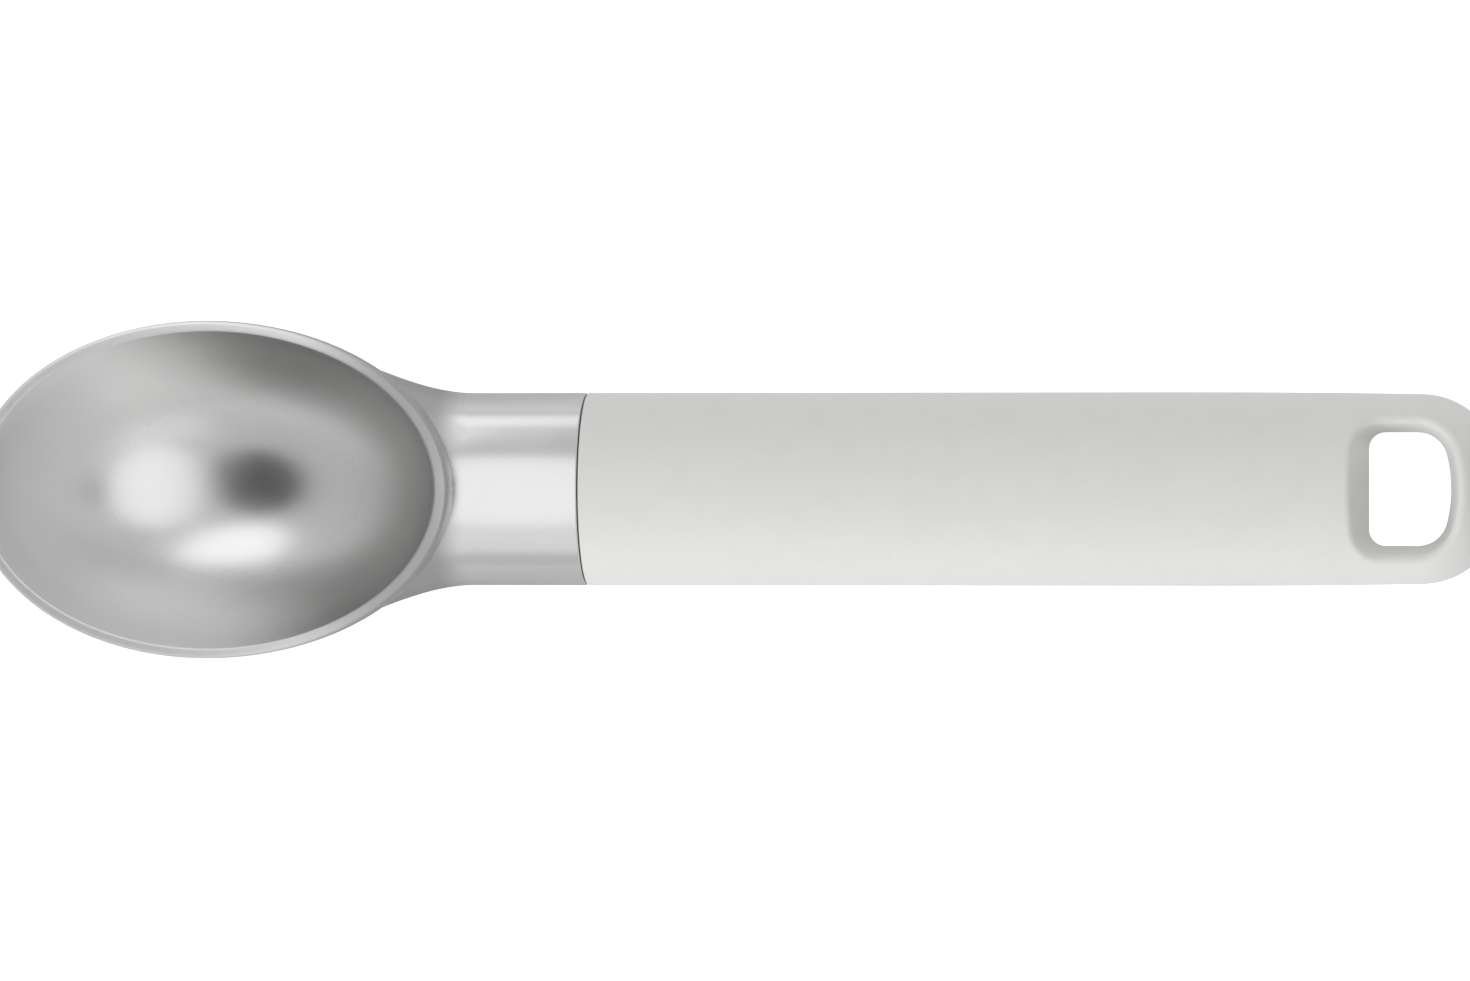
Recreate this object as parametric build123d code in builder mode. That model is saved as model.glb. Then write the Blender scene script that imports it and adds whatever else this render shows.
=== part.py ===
# Ice cream scoop: a cast head with bowl, neck and tang, an inner core cast round the tang,
# and a seamless outer shell with a hang hole.
# Millimetres. X runs from the bowl's tip to the hang hole, Z points up out of the bowl.
# The origin lies under the middle of the scoop, on the surface that it rests on.
import os
from math import sqrt

from build123d import *

# Whole scoop
overall_length = 216.2

# Bowl: an egg turned about its length, cut off above its middle, widest a little in front of its centre,
# with a small flat at its lowest point to rest on
bowl_width = 47.8
bowl_height = 26.0
bowl_front = 33.6
bowl_back = 35.2
rest_flat_depth = 0.15
lip_tip = 1.5
lip_side = 1.4
lip_back = 2.0
floor_thickness = 2.2
rim_outer_round = 0.5
rim_inner_round = 0.35

# Neck and flare: an oval bar that swells into the back of the bowl
neck_length = 17.55
neck_width = 27.3
neck_thickness = 20.6
neck_below_rim = 4.0
neck_straight = 16.1
neck_wall = 3.0
neck_pocket_depth = 12.0
neck_edge_break = 0.15
flare_length = 24.0
flare_fullness = 1.68
flare_rise_power = 3
flare_sink = 0.5
flare_stations = 8

# Tang: a flat tapered blade with windows that the core is cast through
tang_to_core_end = 34.0
tang_root_width = 14.0
tang_tip_width = 9.0
tang_thickness = 5.0
tang_tip_round = 2.5
tang_window_count = 3
tang_window_width = 5.0
tang_window_share = 0.58

# Core: an oval rod with locking grooves and a bevelled nose
core_nose_bevel = 3.0
core_groove_count = 4
core_groove_width = 4.0
core_groove_depth = 0.8

# Shell: the outer moulding with its hang hole
shell_wall = 3.0
shell_end_width = 26.3
shell_taper_length = 45.0
shell_corner_radius = 11.3
shell_end_radius = 60.0
shell_edge_break = 0.15
hole_length = 11.5
hole_width = 15.9
hole_end_bow = 1.7
hole_inner_corner = 2.3
hole_outer_corner = 4.2
hole_flare_angle = 11.0
hole_edge_round = 0.9
hole_to_end = 7.2
hole_bridge = 5.0

# Clearances
joint_gap = 0.2
core_clearance = 0.05
tang_clearance = 0.05

# Stations along X and levels along Z
tip_x = -overall_length / 2
end_x = overall_length / 2
bowl_x = tip_x + bowl_front
neck_end_x = bowl_x + bowl_back + neck_length
shell_front_x = neck_end_x + joint_gap
flare_x = neck_end_x - neck_straight
pocket_x = neck_end_x - neck_pocket_depth
hole_x = end_x - hole_to_end - hole_length / 2
core_end_x = hole_x - hole_length / 2 - hole_bridge
rim_z = bowl_height
bowl_radius = bowl_width / 2
belly_z = bowl_radius - rest_flat_depth
axis_z = rim_z - neck_below_rim - neck_thickness / 2

# Bowl's inside: an oval from the rim's outline and the lip's widths, straight at the mouth, round below
rim_share = sqrt(1 - ((rim_z - belly_z) / bowl_radius) ** 2)
mouth_front_x = bowl_x - bowl_front * rim_share + lip_tip
mouth_back_x = bowl_x + bowl_back * rim_share - lip_back
mouth_x = (mouth_front_x + mouth_back_x) / 2
mouth_half_length = (mouth_back_x - mouth_front_x) / 2
mouth_half_width = bowl_radius * rim_share - lip_side
cavity_z = floor_thickness + mouth_half_width

# Semi-axes of the oval pocket in the neck
pocket_half_width = neck_width / 2 - neck_wall
pocket_half_thickness = neck_thickness / 2 - neck_wall

# Lengths of the tang and the core, and the spacing of the windows and grooves along them
tang_length = core_end_x - tang_to_core_end - pocket_x
window_pitch = tang_length / (tang_window_count + 1)
window_length = tang_window_share * window_pitch
groove_pitch = (core_end_x - shell_front_x) / (core_groove_count + 1)

# Where the shell starts to taper, and where its sides would meet its bowed end
taper_x = end_x - shell_taper_length
corner_x = end_x - shell_end_radius + sqrt(shell_end_radius**2 - (shell_end_width / 2) ** 2)


def bowl_share(x):
    """Size of the bowl's cross-section at x, as a share of its widest one."""
    return sqrt(1 - ((x - bowl_x) / bowl_back) ** 2)


def keel_z(share):
    """Height of the flare's underside: level with the neck at first, in line with the bowl at last."""
    settle = (swollen_keel_z - axis_z + neck_thickness / 2) * (3 - 2 * share) * share**2
    lead = swollen_keel_slope * flare_length * (1 - share) * share**2
    return axis_z - neck_thickness / 2 + settle + lead


def clear_of_waist(edge):
    """True for an edge of the hang hole's upper or lower rim, which keeps off the hole's waist."""
    box = edge.bounding_box()
    return box.min.Z > axis_z + hole_edge_round or box.max.Z < axis_z - hole_edge_round


def tang_blade(clearance):
    """The tang's flat blade, grown by a clearance, with its windows shrunk by the same."""
    with BuildPart() as blade:
        with BuildSketch(Plane.XY.offset(axis_z)):
            with BuildLine():
                Polyline(
                    (pocket_x, -tang_root_width / 2 - clearance),
                    (pocket_x + tang_length + clearance, -tang_tip_width / 2 - clearance),
                    (pocket_x + tang_length + clearance, tang_tip_width / 2 + clearance),
                    (pocket_x, tang_root_width / 2 + clearance),
                    close=True,
                )
            outline = make_face()
            fillet(outline.vertices().group_by(Axis.X)[-1], tang_tip_round)
            for n in range(tang_window_count):
                with Locations((pocket_x + (n + 1.5) * window_pitch, 0)):
                    SlotOverall(
                        window_length - 2 * clearance,
                        tang_window_width - 2 * clearance,
                        mode=Mode.SUBTRACT,
                    )
        extrude(amount=tang_thickness / 2 + clearance, both=True)
    return blade.part


def core_rod(clearance):
    """The oval rod inside the shell, shrunk by a clearance, with locking grooves and a bevelled nose."""
    half_width = neck_width / 2 - shell_wall - clearance
    half_thickness = neck_thickness / 2 - shell_wall - clearance
    with BuildPart() as rod:
        with BuildSketch(Plane.YZ.offset(shell_front_x)):
            Ellipse(half_width, half_thickness)
        extrude(amount=core_end_x - clearance - shell_front_x)
        chamfer(faces().sort_by(Axis.X)[-1].edges(), core_nose_bevel)
        for n in range(core_groove_count):
            groove_x = shell_front_x + (n + 1) * groove_pitch
            with BuildSketch(Plane.YZ.offset(groove_x - core_groove_width / 2 - clearance)):
                Ellipse(half_width + core_groove_depth, half_thickness + core_groove_depth)
                Ellipse(
                    half_width - core_groove_depth,
                    half_thickness - core_groove_depth,
                    mode=Mode.SUBTRACT,
                )
            extrude(amount=core_groove_width + 2 * clearance, mode=Mode.SUBTRACT)
    return rod.part


# Oval at the flare's inner end, sunk a little into the bowl's wall
swollen_x = flare_x - flare_length
swollen_half_width = bowl_radius * bowl_share(swollen_x) - flare_sink
swollen_keel_z = belly_z - bowl_radius * bowl_share(swollen_x) + flare_sink
swollen_keel_slope = bowl_radius * (swollen_x - bowl_x) / (bowl_back**2 * bowl_share(swollen_x))

os.makedirs("parts", exist_ok=True)

# Head: the oval neck with its pocket, the flare through ovals that swell into the bowl, the bowl and the tang
tang = tang_blade(0)
with BuildPart() as scoop_head:
    with BuildSketch(Plane.YZ.offset(flare_x)):
        with Locations((0, axis_z)):
            Ellipse(neck_width / 2, neck_thickness / 2)
    extrude(amount=neck_straight)
    with BuildSketch(Plane.YZ.offset(neck_end_x)):
        with Locations((0, axis_z)):
            Ellipse(pocket_half_width, pocket_half_thickness)
    extrude(amount=-neck_pocket_depth, mode=Mode.SUBTRACT)
    neck_mouth = faces().sort_by(Axis.X)[-1].outer_wire().edges()
    chamfer(neck_mouth, neck_edge_break)
    for station in range(flare_stations + 1):
        share = station / flare_stations
        swell = (flare_fullness + (1 - flare_fullness) * share) * share**2
        half_width = neck_width / 2 + (swollen_half_width - neck_width / 2) * swell
        middle_z = axis_z + (belly_z - axis_z) * share**flare_rise_power
        with BuildSketch(Plane.YZ.offset(flare_x - share * flare_length)):
            with Locations((0, middle_z)):
                Ellipse(half_width, middle_z - keel_z(share))
    loft()
    with BuildSketch(Plane.XY.offset(belly_z)):
        with BuildLine():
            EllipticalCenterArc((bowl_x, 0), bowl_back, bowl_radius, arc_size=90)
            EllipticalCenterArc((bowl_x, 0), bowl_front, bowl_radius, start_angle=90, arc_size=90)
            Line((bowl_x - bowl_front, 0), (bowl_x + bowl_back, 0))
        make_face()
    revolve(axis=Axis((0, 0, belly_z), (1, 0, 0)))
    split(bisect_by=Plane.XY.offset(rim_z), keep=Keep.BOTTOM)
    split(bisect_by=Plane.XY, keep=Keep.TOP)
    with BuildSketch(Plane.XY.offset(cavity_z)):
        with Locations((mouth_x, 0)):
            Ellipse(mouth_half_length, mouth_half_width)
    extrude(amount=rim_z - cavity_z, mode=Mode.SUBTRACT)
    with BuildSketch(Plane.XY.offset(cavity_z)):
        with BuildLine():
            Line((mouth_front_x, 0), (mouth_back_x, 0))
            EllipticalCenterArc((mouth_x, 0), mouth_half_length, mouth_half_width, arc_size=180)
        make_face()
    revolve(axis=Axis((0, 0, cavity_z), (-1, 0, 0)), revolution_arc=180, mode=Mode.SUBTRACT)
    rim = edges().group_by(Axis.Z)[-1].sort_by(SortBy.LENGTH)
    fillet(rim[-1], rim_inner_round)
    fillet(rim[:-1], rim_outer_round)
    add(tang)
scoop_head.part.label = "scoop_head"
export_step(scoop_head.part, "parts/scoop_head.step")

# Core: the rod, its plug in the neck's pocket, and the room that the tang takes up
rod = core_rod(core_clearance)
tang_room = tang_blade(tang_clearance)
with BuildPart() as handle_core:
    with Locations((0, 0, axis_z)):
        add(rod)
    with BuildSketch(Plane.YZ.offset(pocket_x + core_clearance)):
        with Locations((0, axis_z)):
            Ellipse(pocket_half_width - core_clearance, pocket_half_thickness - core_clearance)
    extrude(amount=shell_front_x - pocket_x - core_clearance)
    add(tang_room, mode=Mode.SUBTRACT)
handle_core.part.label = "handle_core"
export_step(handle_core.part, "parts/handle_core.step")

# Shell's tapered round end, turned from half of its plan and flattened to the neck's oval
with BuildPart() as shell_end:
    with BuildSketch():
        with BuildLine():
            Polyline((end_x, 0), (taper_x, 0), (taper_x, neck_width / 2))
            TangentArc((taper_x, neck_width / 2), (corner_x, shell_end_width / 2), tangent=(1, 0))
            RadiusArc((corner_x, shell_end_width / 2), (end_x, 0), shell_end_radius)
        half_plan = make_face()
        fillet(half_plan.vertices().sort_by(Axis.X)[2], shell_corner_radius)
    revolve(axis=Axis.X)
    scale(by=(1, 1, neck_thickness / neck_width), about=(0, 0, 0))

# Shell: the straight part and the round end, with the hang hole, bored for the core
bore = core_rod(0)
with BuildPart() as handle_shell:
    with BuildSketch(Plane.YZ.offset(shell_front_x)):
        with Locations((0, axis_z)):
            Ellipse(neck_width / 2, neck_thickness / 2)
    extrude(amount=taper_x - shell_front_x)
    front_edge = edges().group_by(Axis.X)[0]
    chamfer(front_edge, shell_edge_break)
    with Locations((0, 0, axis_z)):
        add(shell_end.part)
    with BuildSketch(Plane.XY.offset(axis_z)):
        with BuildLine():
            Polyline(
                (hole_x + hole_length / 2 - hole_end_bow, hole_width / 2),
                (hole_x - hole_length / 2, hole_width / 2),
                (hole_x - hole_length / 2, -hole_width / 2),
                (hole_x + hole_length / 2 - hole_end_bow, -hole_width / 2),
            )
            ThreePointArc(
                (hole_x + hole_length / 2 - hole_end_bow, -hole_width / 2),
                (hole_x + hole_length / 2, 0),
                (hole_x + hole_length / 2 - hole_end_bow, hole_width / 2),
            )
        make_face()
        fillet(vertices().group_by(Axis.X)[0], hole_inner_corner)
        fillet(vertices().group_by(Axis.X)[-1], hole_outer_corner)
    extrude(amount=neck_thickness, both=True, taper=-hole_flare_angle, mode=Mode.SUBTRACT)
    hole_rims = edges(Select.LAST).filter_by(clear_of_waist)
    fillet(hole_rims, hole_edge_round)
    with Locations((0, 0, axis_z)):
        add(bore, mode=Mode.SUBTRACT)
handle_shell.part.label = "handle_shell"
export_step(handle_shell.part, "parts/handle_shell.step")
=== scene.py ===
# %% [markdown]
# # Ice cream scoop
# A cast metal head runs into a moulded plastic grip. The solids of both come from the CAD frame, in metres,
# with the bowl's tip at -X, the hang hole at +X and the bowl's mouth facing up. This lesson gives them
# their finishes, a studio and a camera.

# %% Load the frame
from math import cos, degrees, pi, radians, sin

import bmesh
import bpy
from mathutils import Matrix, Vector


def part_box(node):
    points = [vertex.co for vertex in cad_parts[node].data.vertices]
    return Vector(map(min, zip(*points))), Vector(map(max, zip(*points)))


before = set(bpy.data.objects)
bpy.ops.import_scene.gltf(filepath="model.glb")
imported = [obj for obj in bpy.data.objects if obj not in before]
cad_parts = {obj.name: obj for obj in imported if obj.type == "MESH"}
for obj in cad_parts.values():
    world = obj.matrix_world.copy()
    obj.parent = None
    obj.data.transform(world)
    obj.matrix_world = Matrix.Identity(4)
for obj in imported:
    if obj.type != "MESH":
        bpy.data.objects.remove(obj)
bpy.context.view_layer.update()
scene = bpy.context.scene

# %% [markdown]
# ## Which pieces stay as CAD
# The bowl, the neck, the grip and its hang hole are hard, exact shapes, and their CAD meshes are fine enough
# for every outline. Rebuilding them by hand would only lose accuracy, so all three pieces stay, and the work
# goes into what CAD doesn't have: the surface of the metal and of the plastic.

# %% [markdown]
# ## Writing shader maths
# A finish is a small network of nodes. Placing each node by hand hides the idea behind the wiring, so a
# class wraps one output socket, and Python's own operators add the Math nodes. Every other node comes from
# one method: its settings are made first, because they can change its sockets, and then its sockets.

# %% Sockets as values
class Wire:
    """An output socket of a material's node tree that + - and * work on."""

    def __init__(self, tree, socket=None):
        self.tree = tree
        self.socket = socket

    def node(self, kind, settings={}, sockets={}, output=0):
        """Adds a node with its settings and its sockets' values or links, and wraps one of its outputs."""
        made = self.tree.nodes.new(kind)
        for name, value in settings.items():
            setattr(made, name, value)
        for name, value in sockets.items():
            if isinstance(value, Wire):
                self.tree.links.new(value.socket, made.inputs[name])
            else:
                made.inputs[name].default_value = value
        return Wire(self.tree, made.outputs[output] if made.outputs else None)

    def __add__(self, other):
        return self.node("ShaderNodeMath", {"operation": "ADD"}, {0: self, 1: other})

    def __sub__(self, other):
        return self.node("ShaderNodeMath", {"operation": "SUBTRACT"}, {0: self, 1: other})

    def __rsub__(self, other):
        return self.node("ShaderNodeMath", {"operation": "SUBTRACT"}, {0: other, 1: self})

    def __mul__(self, other):
        return self.node("ShaderNodeMath", {"operation": "MULTIPLY"}, {0: self, 1: other})

    __radd__ = __add__
    __rmul__ = __mul__


# %% [markdown]
# ## Satin metal of the head
# The head is a casting with a satin plating: it mirrors the lights as soft patches, and no brush lines show.
# One even roughness would look like that from afar. Up close, real plating has a fine grain, broad patches
# where it was blasted a little more, and small marks where it was rubbed. So the finish starts with three
# noises of those sizes. They read Object coordinates, which stay on the metal wherever it is moved.

# %% Grain, patches and rub marks
def new_finish(name):
    """An empty material, and a wire to start its nodes from."""
    material = bpy.data.materials.new(name)
    material.use_nodes = True
    material.node_tree.nodes.clear()
    return material, Wire(material.node_tree)


def speckle(start, place, size, detail=2.0):
    """Cloudy noise from 0 to 1 whose blotches are about as wide as size, in metres."""
    sockets = {"Vector": place, "Scale": 1 / size, "Detail": detail, "Roughness": 0.5}
    return start.node("ShaderNodeTexNoise", {"noise_dimensions": "3D"}, sockets)


grain_size = 0.00016
patch_size = 0.012
rub_size = 0.0022
satin_metal, start = new_finish("satin_metal")
place = start.node("ShaderNodeTexCoord", output="Object")
grain = speckle(start, place, grain_size)
patch = speckle(start, place, patch_size, 3.0)
rubs = speckle(start, place, rub_size, 4.0)
for mark, size in {"grain": grain_size, "patches": patch_size, "rub marks": rub_size}.items():
    print(f"{mark} of the metal about {1000 * size:.2f} mm wide")

# %% [markdown]
# ## Where the metal differs
# The finish changes from place to place. The steep walls of the bowl are rougher than its bottom. On the
# walls and the lip the tone is a painted light and shade, lighter towards the front of the bowl and darker
# at the back.
# The lip is a narrow band of its own. Such places could be painted on a texture, but a mask needs none: it
# fades from 0 to 1 along a direction, in metres, and the product of two masks holds only where both do.

# %% Masks on the head
def fade(start, value, none, full):
    """A mask that goes smoothly from 0, where the value is none, to 1, where it is full."""
    sockets = {"Value": value, "From Min": none, "From Max": full, "To Min": 0.0, "To Max": 1.0}
    return start.node("ShaderNodeMapRange", {"interpolation_type": "SMOOTHSTEP", "clamp": True}, sockets)


rim_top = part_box("scoop_head")[1][2]
lip_range = (rim_top - 0.0006, rim_top - 0.0002)
wall_range = (0.004, 0.012)
bowl_range = (-0.038, -0.043)
painted_light_range = (-0.06, -0.086)
painted_light_slant = 0.45
along = start.node("ShaderNodeSeparateXYZ", {}, {"Vector": place}, output="X")
across = start.node("ShaderNodeSeparateXYZ", {}, {"Vector": place}, output="Y")
height = start.node("ShaderNodeSeparateXYZ", {}, {"Vector": place}, output="Z")
lip = fade(start, height, *lip_range)
wall = fade(start, height, *wall_range) * fade(start, along, *bowl_range)
# Painted light and shade: this mask lightens the tone of the walls and the lip towards the front of the
# bowl, slanting across it, and leaves the back dark; the haze keeps to the same front.
painted_light_front = fade(start, along + painted_light_slant * across, *painted_light_range)
print(f"lip above {1000 * lip_range[0]:.1f} mm, steep walls above {1000 * wall_range[0]:.1f} mm")

# %% [markdown]
# ## Inside of the bowl
# A mirror shows how its surface slopes, so even a fine mesh leaves streaks at the edge of a highlight, where
# one facet meets the next. More facets would help, but a CAD mesh stays as it is. The inside of the bowl is
# half an egg, though, and an egg has a formula. Measured from its middle and divided by its half-widths, a
# point on it has a length of 1, and dividing once more gives the direction that the surface faces. So the
# shader works that normal out, and goes back to the mesh's own normal near the rim and everywhere else.

# %% Egg of the bowl
def vector_maths(start, operation, *terms, output=0):
    """A Vector Math node on its terms, which are wires or plain vectors."""
    return start.node("ShaderNodeVectorMath", {"operation": operation}, dict(enumerate(terms)), output)


bowl_middle = (-0.07395, 0.0, 0.02459)
bowl_reach = (0.0325, 0.02239, 0.02239)
inside_range = (1.04, 1.015)
egg_range = (0.0245, 0.0225)
turned_round = (-1.0, -1.0, -1.0)
from_middle = vector_maths(start, "SUBTRACT", place, bowl_middle)
spread = vector_maths(start, "DIVIDE", from_middle, bowl_reach)
inside = fade(start, vector_maths(start, "LENGTH", spread, output="Value"), *inside_range)
outward = vector_maths(start, "DIVIDE", spread, bowl_reach)
egg_normal = vector_maths(start, "NORMALIZE", vector_maths(start, "MULTIPLY", outward, turned_round))
mesh_normal = start.node("ShaderNodeNewGeometry", output="Normal")
egg_share = inside * fade(start, height, *egg_range)
normals = {0: egg_share, 4: mesh_normal, 5: egg_normal}
normal = start.node("ShaderNodeMix", {"data_type": "VECTOR"}, normals, output=1)
print(f"egg of the bowl {2000 * bowl_reach[0]:.1f} mm long and {2000 * bowl_reach[1]:.1f} mm wide")

# %% [markdown]
# ## Tone and shine of the metal
# A bare metal has no colour but that of what it mirrors, times its own tone. So the masks steer the tone and
# the roughness, which says how sharp the mirrored picture is. A film of fine scratches and dried water also
# scatters some light inside the front of the bowl. A second surface over the metal could show that, but it
# is simpler to lower Metallic there, which trades a share of the mirror for a plain pale surface.

# %% Tone, haze and roughness
def blend(start, share, first, second):
    """A colour between two, by a share from 0 to 1."""
    settings = {"data_type": "RGBA", "clamp_factor": True}
    return start.node("ShaderNodeMix", settings, {0: share, 6: first, 7: second}, output=2)


metal_pale = (0.81, 0.81, 0.806, 1.0)
metal_deep = (0.77, 0.77, 0.767, 1.0)
# The next two tones are a painted shade and a painted light: they make the walls and the lip darker at the
# back of the bowl and lighter at its front.
metal_painted_shade = (0.52, 0.52, 0.518, 1.0)
metal_painted_light = (0.95, 0.95, 0.945, 1.0)
patch_range = (0.25, 0.75)
lip_painted_light_range = (-0.046, -0.064)
plain_tone = blend(start, fade(start, patch, *patch_range), metal_deep, metal_pale)
# Painted light and shade: the steep walls and the lip are lighter towards the front of the bowl and darker
# towards its back.
wall_painted_tone = blend(start, painted_light_front, metal_painted_shade, metal_painted_light)
lip_painted_tone = blend(start, fade(start, along, *lip_painted_light_range), metal_painted_shade, metal_painted_light)
tone = blend(start, lip, blend(start, wall, plain_tone, wall_painted_tone), lip_painted_tone)

haze_share = 0.52
haze_range = (0.006, 0.016)
haze = haze_share * inside * (1 - lip) * painted_light_front * fade(start, height, *haze_range)

metal_roughness = 0.25
grain_swing = 0.05
patch_swing = 0.07
wall_rise = 0.16
lip_rise = 0.08
rub_rise = 0.1
rough = metal_roughness + grain_swing * (grain - 0.5) + patch_swing * (patch - 0.5)
rough = rough + wall_rise * wall + lip * (lip_rise + rub_rise * rubs)
print(f"metal roughness {metal_roughness}, {metal_roughness + wall_rise:.2f} on the steep walls")

# %% [markdown]
# ## Metal on the head
# The grain and the rub marks are also a relief, less than a thousandth of a millimetre deep. Real geometry
# that fine would take millions of faces, so a Bump node tilts the normal instead. It starts from the normal
# that the egg gave, and the finish then goes into the head's own material slot.

# %% Satin metal
def relief(start, height, depth, base=None):
    """A surface normal from a height of 0 to 1, whose full depth is given in metres, on a base normal."""
    sockets = {"Height": height, "Distance": depth, "Strength": 1.0}
    if base is not None:
        sockets["Normal"] = base
    return start.node("ShaderNodeBump", {}, sockets)


def put_on(material, *names):
    """Gives the material to CAD nodes through their own material slots."""
    for name in names:
        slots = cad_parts[name].data.materials
        slots.clear()
        slots.append(material)
        print(f"{material.name} on {name}: {len(material.node_tree.nodes)} nodes")


grain_depth = 0.0000006
rub_height = 0.6
bumps = relief(start, grain + rub_height * rubs, grain_depth, normal)
surface = start.node(
    "ShaderNodeBsdfPrincipled",
    {},
    {"Base Color": tone, "Metallic": 1 - haze, "Roughness": rough, "Normal": bumps},
)
start.node("ShaderNodeOutputMaterial", {}, {"Surface": surface})
put_on(satin_metal, "scoop_head")

# %% [markdown]
# ## Plastic of the grip
# The grip is an off-white moulding with the very fine texture of an etched mould, which makes its shine
# broad and soft. A flat colour would look like paper, so a fine grain tilts the surface, a speckle tints the
# colour by a few percent at most, and broad patches change the shine as handling does.

# %% Grip plastic
grip_light = (0.76, 0.762, 0.743, 1.0)
grip_shade = (0.735, 0.737, 0.718, 1.0)
grip_roughness = 0.46
shine_swing = 0.08
etch_size = 0.0003
etch_depth = 0.000008
mottle_size = 0.004
mottle_range = (0.3, 0.7)
handled_size = 0.018
grip_bending = 1.49

grip_plastic, start = new_finish("grip_plastic")
place = start.node("ShaderNodeTexCoord", output="Object")
etch = speckle(start, place, etch_size, 3.0)
mottle = speckle(start, place, mottle_size, 4.0)
handled = speckle(start, place, handled_size, 3.0)
tint = fade(start, 0.5 * etch + 0.5 * mottle, *mottle_range)
tone = blend(start, tint, grip_shade, grip_light)
rough = grip_roughness + shine_swing * (etch - 0.5) + shine_swing * (handled - 0.5)
bumps = relief(start, etch, etch_depth)
surface = start.node(
    "ShaderNodeBsdfPrincipled",
    {},
    {"Base Color": tone, "Roughness": rough, "Normal": bumps, "IOR": grip_bending},
)
start.node("ShaderNodeOutputMaterial", {}, {"Surface": surface})
put_on(grip_plastic, "handle_shell")

# %% [markdown]
# ## Plastic of the core
# Only a thread of the core shows, at the bottom of the fine line between the neck and the grip. It is a
# plain grey moulding, so a coarse speckle in its colour and a dull, uneven shine are enough.

# %% Core plastic
core_shade = (0.55, 0.55, 0.54, 1.0)
core_light = (0.65, 0.65, 0.64, 1.0)
core_roughness = 0.6
core_swing = 0.2
flow_size = 0.002
flow_depth = 0.00003

core_plastic, start = new_finish("core_plastic")
place = start.node("ShaderNodeTexCoord", output="Object")
flow = speckle(start, place, flow_size, 4.0)
tone = blend(start, flow, core_shade, core_light)
rough = core_roughness + core_swing * (flow - 0.5)
bumps = relief(start, flow, flow_depth)
surface = start.node(
    "ShaderNodeBsdfPrincipled",
    {},
    {"Base Color": tone, "Roughness": rough, "Normal": bumps},
)
start.node("ShaderNodeOutputMaterial", {}, {"Surface": surface})
put_on(core_plastic, "handle_core")

# %% [markdown]
# ## Floor
# The scoop lies on a white table that is lit from inside, so it shows hardly any shadow. A plane with an
# even glow would be as white from the side, and a pale grip would be lost in front of it. A real light table
# is brightest straight above, so here the glow falls off with the slant of the view, which Layer Weight
# gives: its Facing is 0 straight above and nears 1 at a grazing view. A faint drift of tone keeps the floor
# from looking like an empty picture. It takes part in the lighting, not in the object.

# %% Floor plane
floor_half = 3.0
mesh = bpy.data.meshes.new("floor")
shape = bmesh.new()
bmesh.ops.create_grid(shape, x_segments=1, y_segments=1, size=floor_half)
shape.to_mesh(mesh)
shape.free()
floor = bpy.data.objects.new("floor", mesh)
scene.collection.objects.link(floor)
print(f"floor {2 * floor_half} m wide")

# %% Lit white floor
floor_shade = (0.63, 0.63, 0.63, 1.0)
floor_light = (0.65, 0.65, 0.65, 1.0)
floor_roughness = 0.7
floor_swing = 0.1
floor_shine = 0.2
drift_size = 0.3
glow_above = (1.0, 1.0, 1.0, 1.0)
glow_aslant = (0.2, 0.2, 0.2, 1.0)
slant_range = (0.05, 0.5)
table_glow = 0.85

floor_white, start = new_finish("floor_white")
place = start.node("ShaderNodeTexCoord", output="Object")
drift = speckle(start, place, drift_size, 2.0)
slant = start.node("ShaderNodeLayerWeight", {}, {"Blend": 0.5}, output="Facing")
surface = start.node(
    "ShaderNodeBsdfPrincipled",
    {},
    {
        "Base Color": blend(start, drift, floor_shade, floor_light),
        "Roughness": floor_roughness + floor_swing * (drift - 0.5),
        "Specular IOR Level": floor_shine,
        "Emission Color": blend(start, fade(start, slant, *slant_range), glow_above, glow_aslant),
        "Emission Strength": table_glow,
    },
)
start.node("ShaderNodeOutputMaterial", {}, {"Surface": surface})
mesh.materials.append(floor_white)
print(f"{floor_white.name}: glow {table_glow} from above, {table_glow * glow_aslant[0]:.2f} aslant")

# %% [markdown]
# ## Camera
# The picture looks down on the scoop, leaning 8.2 degrees towards the hang hole. From far away with a long
# lens, the sides stay nearly parallel. A camera looks along its own -Z, so its matrix is made from the line
# of sight and the scoop's length, which runs along the picture's width.

# %% Camera over the scoop
lean = radians(8.2)
side_lean = radians(0.3)
distance = 1.5
aim = Vector((-0.00058, -0.0002, 0.0117))
sight = Vector((sin(lean) * cos(side_lean), sin(side_lean), cos(lean) * cos(side_lean)))
rightward = (Vector((1, 0, 0)) - sight * sight.x).normalized()
upward = sight.cross(rightward)
camera = bpy.data.objects.new("camera", bpy.data.cameras.new("camera"))
camera.data.sensor_fit = "HORIZONTAL"
camera.data.sensor_width = 36.0
camera.data.lens = 259.4
turned = Matrix((rightward, upward, sight)).transposed().to_4x4()
camera.matrix_world = Matrix.Translation(aim + distance * sight) @ turned
scene.collection.objects.link(camera)
scene.camera = camera
print(f"camera {distance} m away, leaning {degrees(lean):.1f} degrees")

# %% [markdown]
# ## Surround
# An object in an empty world would mirror black. A sky picture would give the metal something to show, but
# the studio here is plain, so an even pale surround fills in what no light reaches. The Standard view keeps
# white as white, where Blender's usual view would grey it.

# %% Pale surround
surround = 0.55
world = bpy.data.worlds.new("surround")
world.use_nodes = True
background = world.node_tree.nodes["Background"]
background.inputs["Color"].default_value = (1.0, 1.0, 1.0, 1.0)
background.inputs["Strength"].default_value = surround
scene.world = world
scene.view_settings.view_transform = "Standard"
scene.view_settings.look = "None"
print(f"surround {surround}")

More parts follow.
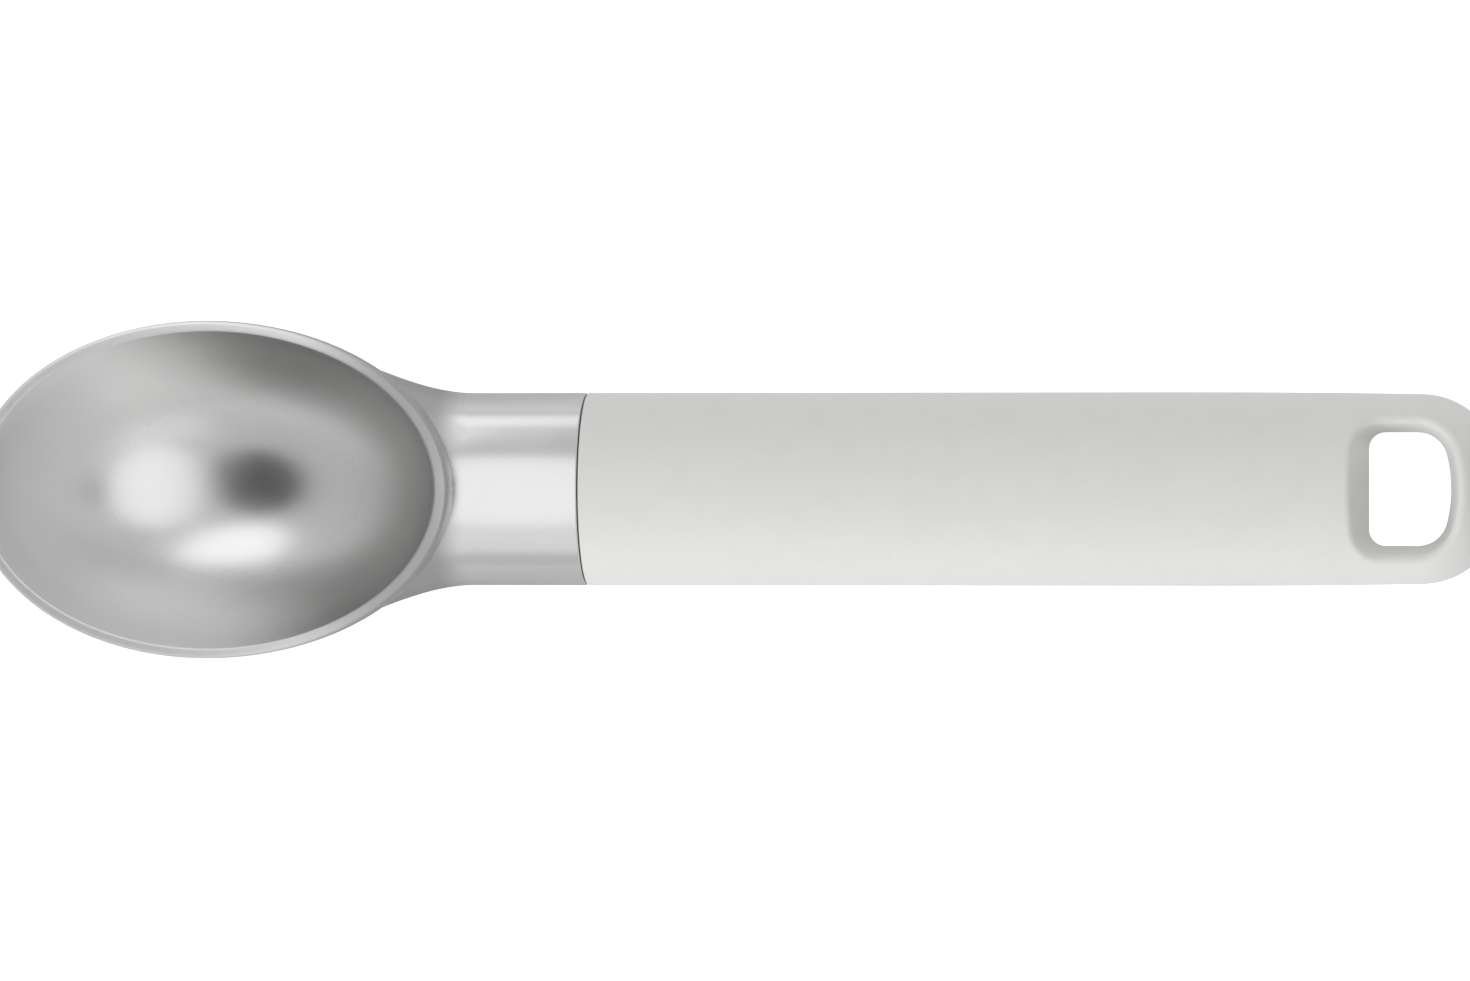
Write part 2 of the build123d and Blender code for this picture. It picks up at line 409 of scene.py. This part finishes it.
# %% [markdown]
# ## Softboxes
# Metal shows what surrounds it, and plastic shows where its light comes from. One set of lights for both
# means that each change for the metal spoils the plastic, so here each softbox serves one of them. Four are
# seen only in the metal and face straight down: one above the neck, with a fainter skirt on its near side,
# and one beyond the bowl that runs on far beyond the neck. Four give only soft light: a broad key from the
# near side, a fill from the far side, and two low ones that reach the edges of the grip.

# %% Softboxes for the metal
def softbox(name, middle, target, size, glow, mirrored, outline="ELLIPSE"):
    """A light at middle that faces target, for mirrored or for soft light; a glow of 1 is white."""
    light = bpy.data.lights.new(name, "AREA")
    light.shape = outline
    light.size, light.size_y = size
    light.energy = glow * pi * size[0] * size[1] * (pi / 4 if outline == "ELLIPSE" else 1)
    box = bpy.data.objects.new(name, light)
    box.location = middle
    box.rotation_euler = (Vector(middle) - Vector(target)).to_track_quat("Z", "Y").to_euler()
    box.visible_glossy = mirrored
    box.visible_diffuse = not mirrored
    scene.collection.objects.link(box)
    print(f"{name}: {size[0]} by {size[1]} m, glow {glow}")


hanging_height = 0.1
hanging_boxes = {
    "over_neck": ((-0.046, -0.006), (0.062, 0.118), 0.55, "ELLIPSE"),
    "over_neck_skirt": ((-0.046, -0.136), (0.075, 0.14), 0.3, "RECTANGLE"),
    "beyond_bowl": ((-0.101, 0.115), (0.08, 0.15), 0.76, "ELLIPSE"),
    "beyond_neck": ((-0.1, 0.445), (0.09, 0.51), 0.74, "RECTANGLE"),
}
for name, (spot, size, glow, outline) in hanging_boxes.items():
    softbox(name, (*spot, hanging_height), (*spot, 0.0), size, glow, True, outline)

# %% Softboxes for the plastic
standing_boxes = {
    "near_side_key": ((-0.6, -1.0, 0.65), (1.0, 1.0), 3.2),
    "far_side_fill": ((0.0, 0.7, 1.3), (1.2, 1.2), 1.02),
    "near_side_low": ((0.0, -2.4, 0.4), (2.0, 0.72), 1.6),
    "far_side_low": ((0.0, 2.4, 0.4), (2.0, 0.72), 1.4),
}
scoop_foot = (0.0, 0.0, 0.0)
for name, (middle, size, glow) in standing_boxes.items():
    softbox(name, middle, scoop_foot, size, glow, False)

# %% [markdown]
# ## Cards
# Metal that mirrors only bright things looks flat, so dark cards are set round it as well. A dark flag hangs
# above the bowl and makes the dark spot in it, and a dark strip hangs above the start of the grip. Two grey
# mats lie on the floor and keep its glow out of the sides of the metal. A card in plain view would also
# shade the grip and show on the floor, so only mirrored rays meet these. Like the floor, they take part in
# the lighting, not in the object.

# %% Oval cards
def card(name, x_range, y_range, height, material):
    """A level oval card that only mirrored rays meet."""
    mesh = bpy.data.meshes.new(name)
    shape = bmesh.new()
    bmesh.ops.create_circle(shape, cap_ends=True, segments=64, radius=0.5)
    size = Vector((x_range[1] - x_range[0], y_range[1] - y_range[0], 1.0))
    middle = Vector((sum(x_range) / 2, sum(y_range) / 2, height))
    bmesh.ops.scale(shape, vec=size, verts=shape.verts)
    bmesh.ops.translate(shape, vec=middle, verts=shape.verts)
    shape.to_mesh(mesh)
    shape.free()
    made = bpy.data.objects.new(name, mesh)
    made.visible_camera = False
    made.visible_diffuse = False
    made.visible_shadow = False
    scene.collection.objects.link(made)
    mesh.materials.append(material)
    print(f"{name}: {size.x:.3f} by {size.y:.3f} m")


def card_cloth(name, grey):
    """A dull woven cloth of one grey, with a weave a tenth darker in places."""
    cloth, start = new_finish(name)
    place = start.node("ShaderNodeTexCoord", output="Object")
    weave = speckle(start, place, 0.002, 2.0)
    thread = (grey, grey, grey, 1.0)
    gap = (0.9 * grey, 0.9 * grey, 0.9 * grey, 1.0)
    tone = blend(start, weave, gap, thread)
    surface = start.node("ShaderNodeBsdfPrincipled", {}, {"Base Color": tone, "Roughness": 0.9})
    start.node("ShaderNodeOutputMaterial", {}, {"Surface": surface})
    return cloth


# %% Dark flag, dark strip and grey mats
mat_height = 0.0003
card("dark_flag", (-0.132, -0.081), (-0.05, 0.03), hanging_height, card_cloth("dark_cloth", 0.01))
card("dark_strip", (-0.011, 0.015), (-0.035, 0.035), hanging_height, card_cloth("strip_cloth", 0.02))
card("near_mat", (-0.6, 0.6), (-0.8, 0.01), mat_height, card_cloth("near_cloth", 0.66))
card("far_mat", (-0.6, 0.6), (0.01, 0.8), mat_height, card_cloth("far_cloth", 0.86))
